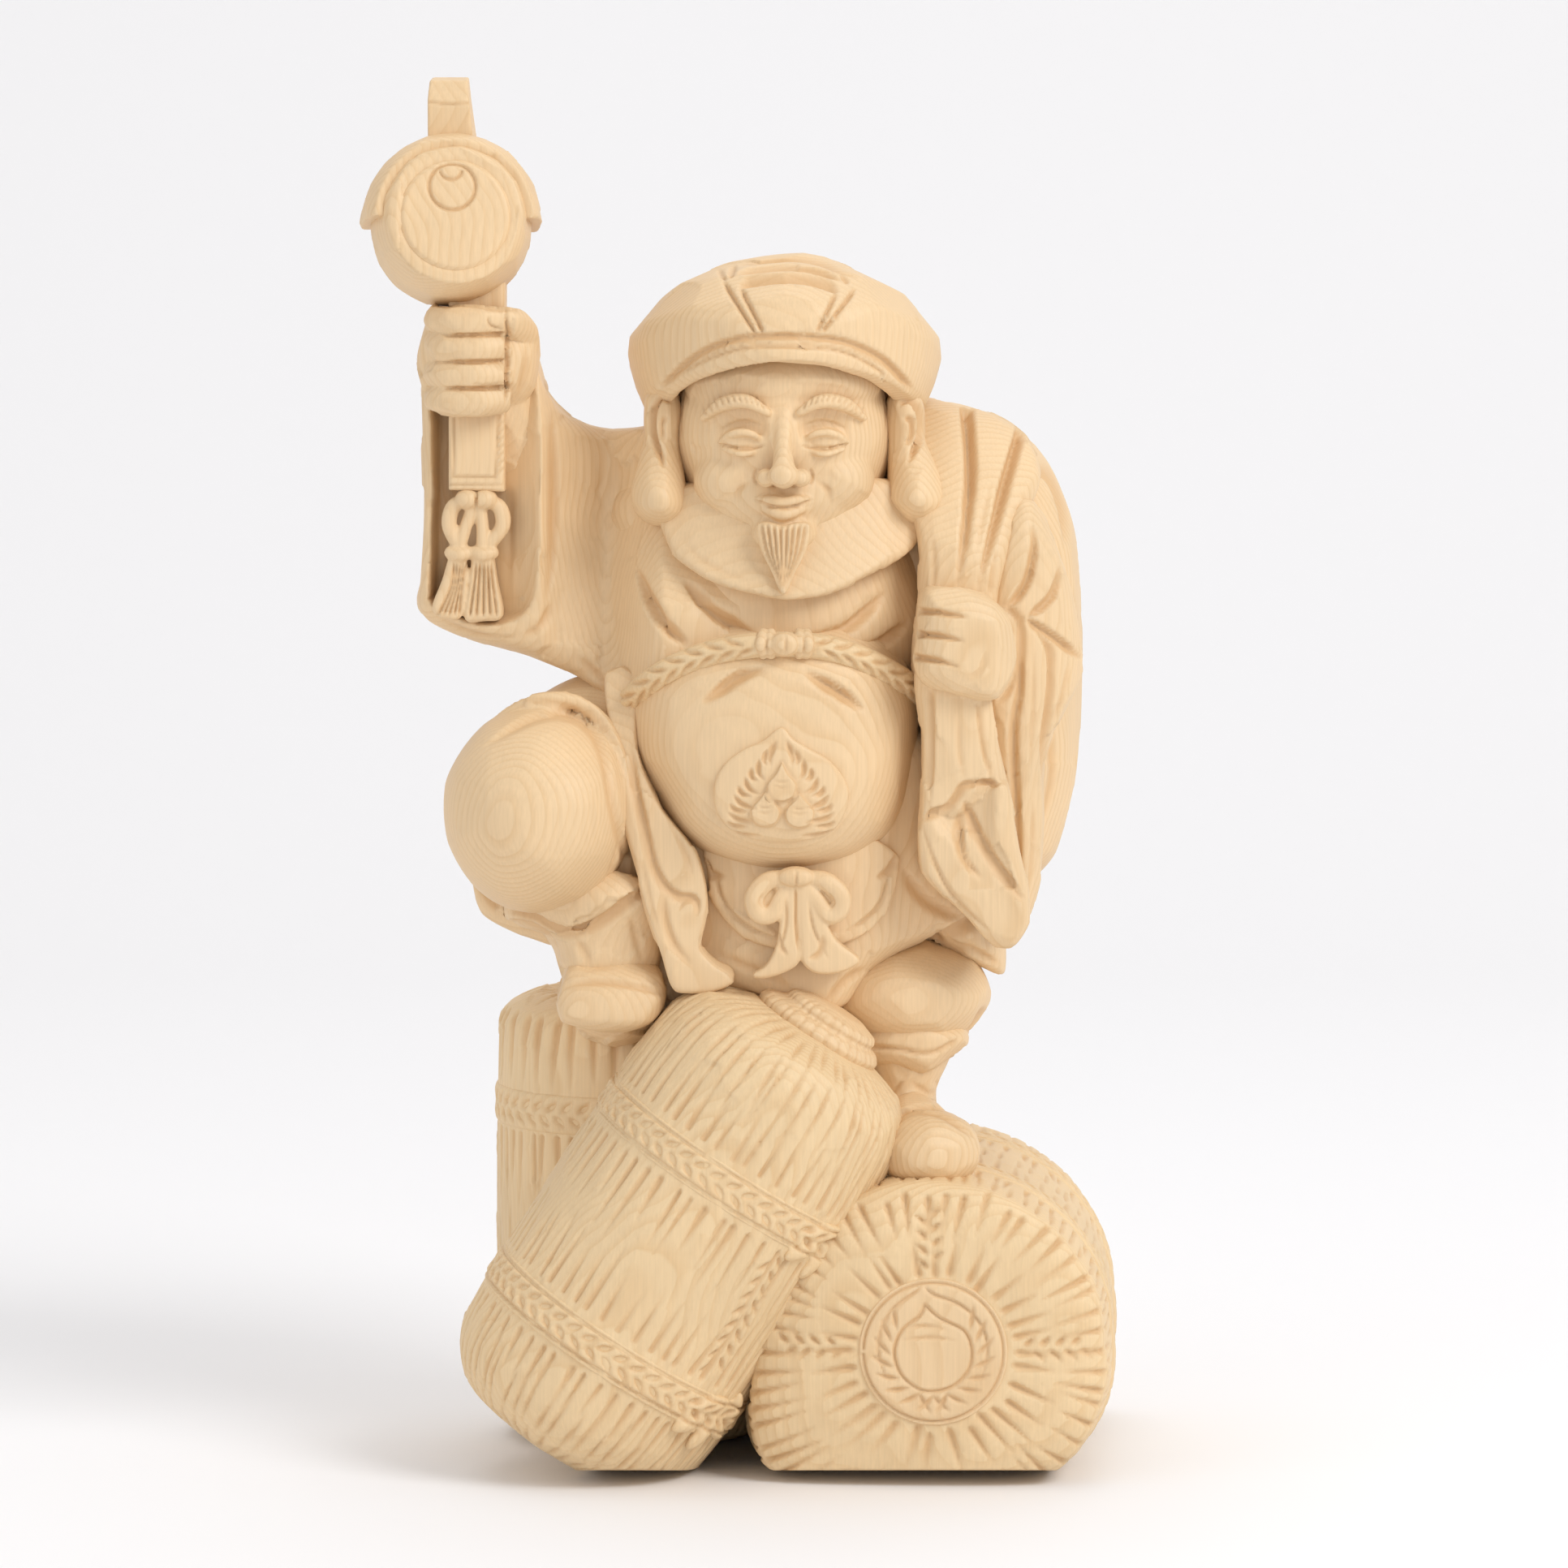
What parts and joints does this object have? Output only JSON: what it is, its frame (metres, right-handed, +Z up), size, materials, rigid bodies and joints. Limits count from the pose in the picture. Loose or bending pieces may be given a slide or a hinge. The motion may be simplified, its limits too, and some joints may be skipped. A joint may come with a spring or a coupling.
{
  "type": "carved wooden figure",
  "caption": "Carved pale wood figure of a fortune god with mallet and sack, standing on straw rice bales.",
  "frame": {"origin": "on the surface that the carving stands on, under the middle of its bounding box", "axes": "+Z up, the figure faces -Y, +X to the viewer's right (the figure's own left)"},
  "size_m": [0.1652, 0.1139, 0.303],
  "materials": {
    "figure_wood": "bare, satin from the carving knife",
    "bale_wood": "bare, scored with straw cuts",
    "rope_wood": "bare, chip-carved braid",
    "dowel_wood": "bare, turned"
  },
  "bodies": {
    "root": {"apron": "figure_wood", "bale_front": "bale_wood", "bale_front_lid": "figure_wood", "bale_front_ropes": "rope_wood", "bale_rear_left": "bale_wood", "bale_rear_left_ropes": "rope_wood", "bale_right": "bale_wood", "bale_right_disc": "figure_wood", "bale_right_ropes": "rope_wood", "beard": "figure_wood", "belly": "figure_wood", "belly_crest": "figure_wood", "belt_knot": "figure_wood", "collar": "figure_wood", "ear_left": "figure_wood", "ear_right": "figure_wood", "hat": "figure_wood", "head": "figure_wood", "hidden_dowels": "dowel_wood", "left_boot": "figure_wood", "left_hand": "figure_wood", "left_leg": "figure_wood", "left_sleeve": "figure_wood", "mallet_band": "figure_wood", "mallet_drum": "figure_wood", "mallet_face": "figure_wood", "mallet_finial": "figure_wood", "mallet_handle": "figure_wood", "mallet_tassel": "figure_wood", "right_boot": "figure_wood", "right_fist": "figure_wood", "right_leg": "figure_wood", "right_sleeve": "figure_wood", "robe": "figure_wood", "robe_flap": "figure_wood", "rope_belt": "rope_wood", "sack_body": "figure_wood", "sack_neck": "figure_wood", "sack_tail": "figure_wood", "waist_bow": "figure_wood"}
  },
  "joints": []
}
